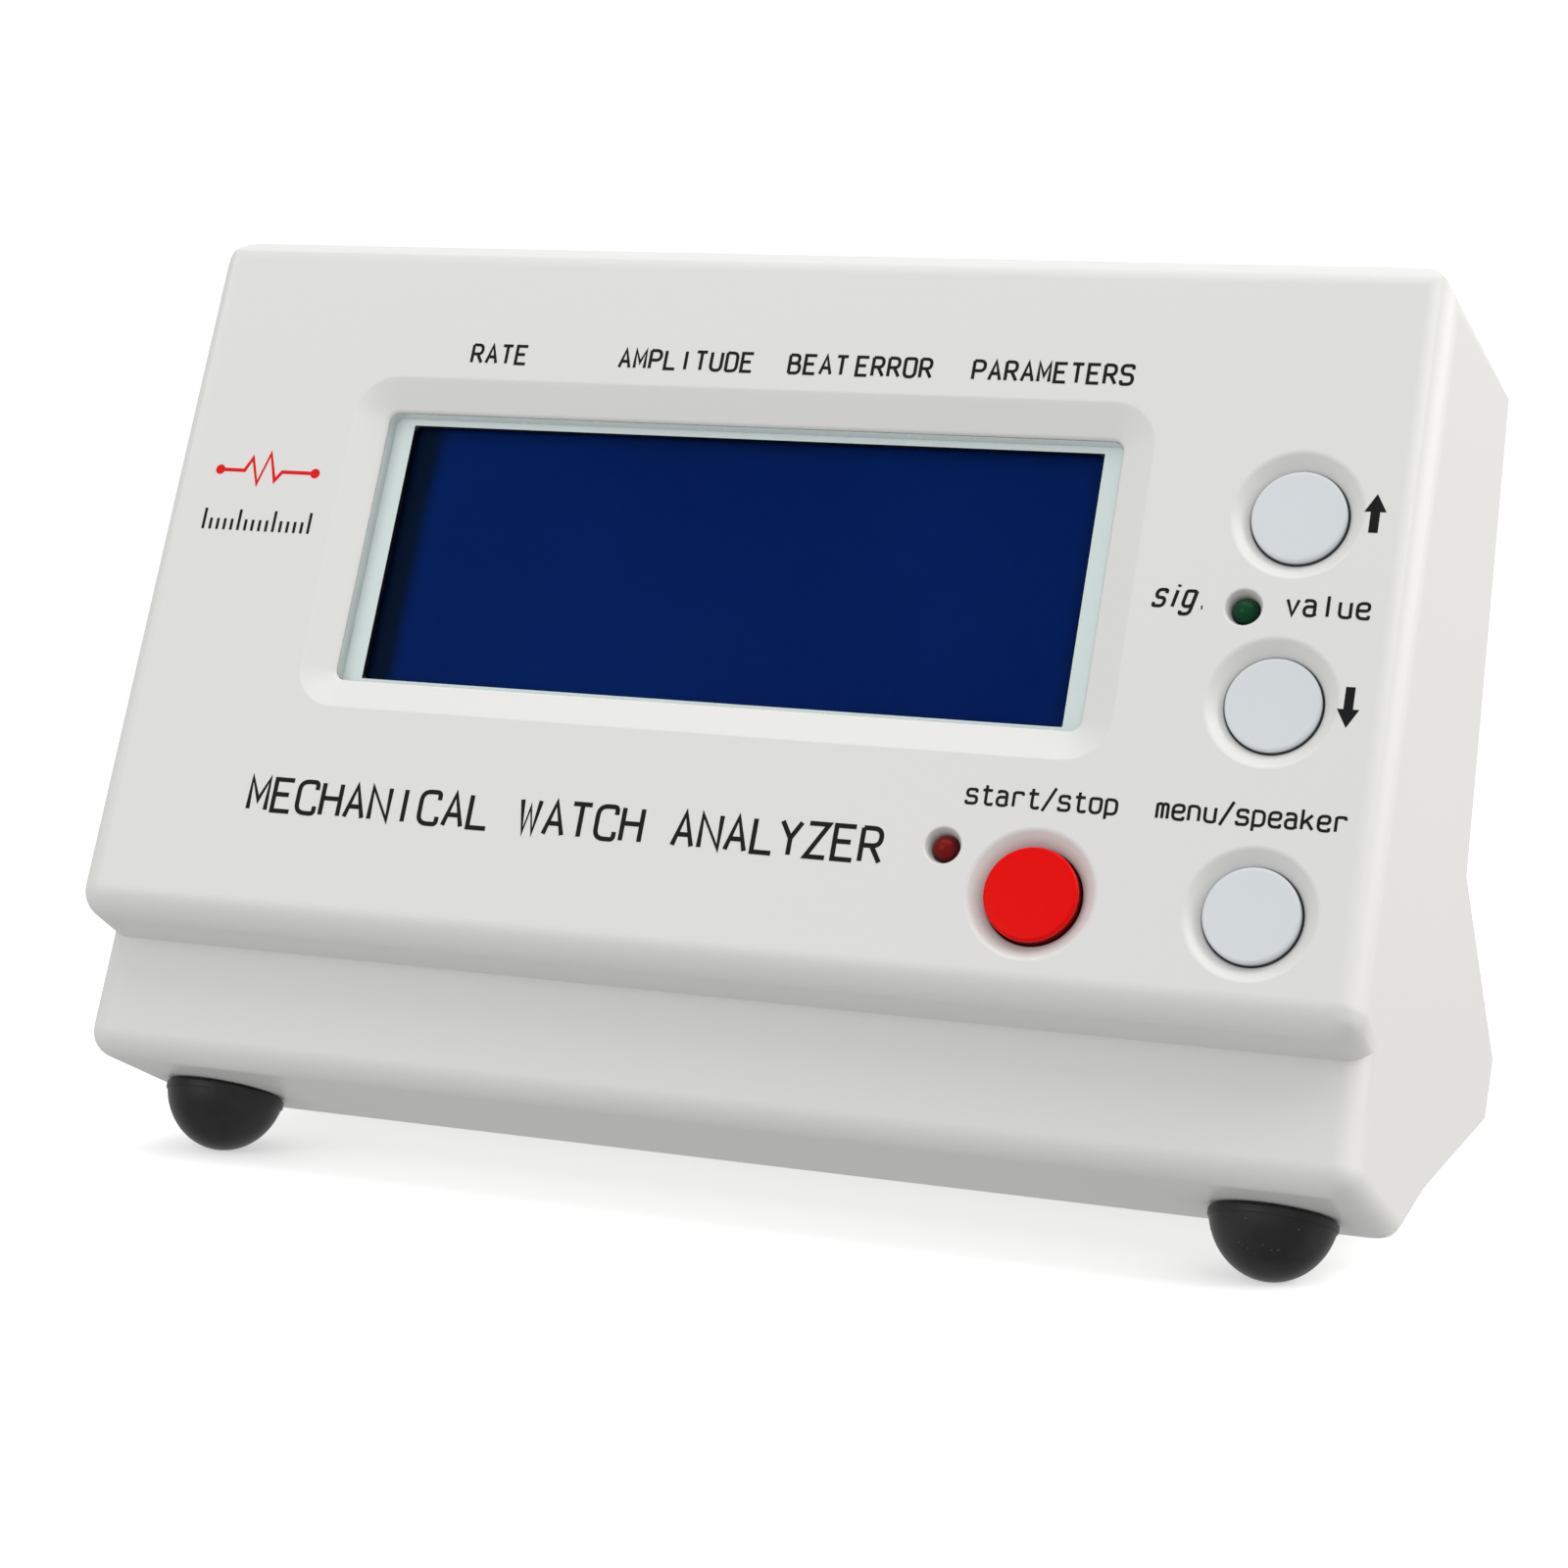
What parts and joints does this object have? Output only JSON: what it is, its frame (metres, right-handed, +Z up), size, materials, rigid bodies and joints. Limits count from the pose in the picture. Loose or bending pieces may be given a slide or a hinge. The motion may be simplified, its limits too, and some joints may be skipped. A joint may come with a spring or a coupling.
{
  "type": "timegrapher",
  "caption": "Desk timegrapher for mechanical watches: plastic case with a leaning front panel, graphic display behind a window, push buttons, signal lamps and dome feet.",
  "frame": {"origin": "on the table, under the middle of the case's outer box", "axes": "+X to the right of someone facing the panel, +Y to the back, +Z up"},
  "size_m": [0.1852, 0.1142, 0.1341],
  "materials": {
    "ivory_plastic": "glossy moulded ABS, warm off-white",
    "clear_acrylic": "clear polished acrylic sheet",
    "black_foam": "soft black foam tape",
    "black_steel": "black coated sheet steel",
    "display_glass": "dark blue display glass, opaque when switched off",
    "light_guide": "white light guide sheet",
    "green_board": "green solder mask on glass-fibre board",
    "white_button": "smooth pale grey plastic",
    "red_button": "smooth red plastic",
    "black_plastic": "black moulded plastic",
    "green_lens": "dark green tinted lens",
    "red_lens": "dark red tinted lens",
    "black_rubber": "satin black rubber",
    "bright_steel": "plated steel",
    "chip_plastic": "dull black moulding compound",
    "capacitor_sleeve": "dark blue plastic sleeve",
    "grey_ribbon": "grey ribbon cable",
    "paper_cone": "black pressed paper",
    "ferrite": "dark grey ferrite"
  },
  "bodies": {
    "case": {"front_housing": "ivory_plastic", "rear_cover": "ivory_plastic", "front_left_foot": "black_rubber", "front_right_foot": "black_rubber", "rear_left_foot": "black_rubber", "rear_right_foot": "black_rubber", "display_window": "clear_acrylic", "display_gasket": "black_foam", "display_bezel": "black_steel", "display_glass": "display_glass", "display_backlight": "light_guide", "display_board": "green_board", "signal_lamp": "green_lens", "run_lamp": "red_lens", "button_board": "green_board", "main_board": "green_board", "microcontroller": "chip_plastic", "timing_crystal": "bright_steel", "pickup_amplifier": "chip_plastic", "speaker_amplifier": "chip_plastic", "voltage_regulator": "chip_plastic", "filter_capacitor_1": "capacitor_sleeve", "filter_capacitor_2": "capacitor_sleeve", "power_socket": "black_plastic", "power_socket_pin": "bright_steel", "pickup_socket": "bright_steel", "pickup_socket_insert": "black_plastic", "speaker_basket": "bright_steel", "speaker_cone": "paper_cone", "speaker_magnet": "ferrite", "display_plug": "black_plastic", "display_main_plug": "black_plastic", "display_ribbon": "grey_ribbon", "button_plug": "black_plastic", "button_main_plug": "black_plastic", "button_ribbon": "grey_ribbon", "speaker_lead": "grey_ribbon", "up_button_switch": "black_plastic", "down_button_switch": "black_plastic", "start_stop_button_switch": "black_plastic", "menu_button_switch": "black_plastic", "upper_left_screw": "bright_steel", "upper_right_screw": "bright_steel", "middle_left_screw": "bright_steel", "middle_right_screw": "bright_steel", "lower_left_screw": "bright_steel", "lower_right_screw": "bright_steel"},
    "up_button": {"up_button_cap": "white_button", "up_button_plunger": "black_plastic"},
    "down_button": {"down_button_cap": "white_button", "down_button_plunger": "black_plastic"},
    "start_stop_button": {"start_stop_button_cap": "red_button", "start_stop_button_plunger": "black_plastic"},
    "menu_button": {"menu_button_cap": "white_button", "menu_button_plunger": "black_plastic"}
  },
  "joints": [
    {"name": "up_button_press", "type": "slide", "parent": "case", "child": "up_button", "axis": [0, 0.9397, -0.342], "range_m": [0, 0.0004], "stiffness_N_per_m": 400, "springref_m": -0.002},
    {"name": "down_button_press", "type": "slide", "parent": "case", "child": "down_button", "axis": [0, 0.9397, -0.342], "range_m": [0, 0.0004], "stiffness_N_per_m": 400, "springref_m": -0.002},
    {"name": "start_stop_button_press", "type": "slide", "parent": "case", "child": "start_stop_button", "axis": [0, 0.9397, -0.342], "range_m": [0, 0.0004], "stiffness_N_per_m": 400, "springref_m": -0.002},
    {"name": "menu_button_press", "type": "slide", "parent": "case", "child": "menu_button", "axis": [0, 0.9397, -0.342], "range_m": [0, 0.0004], "stiffness_N_per_m": 400, "springref_m": -0.002}
  ]
}
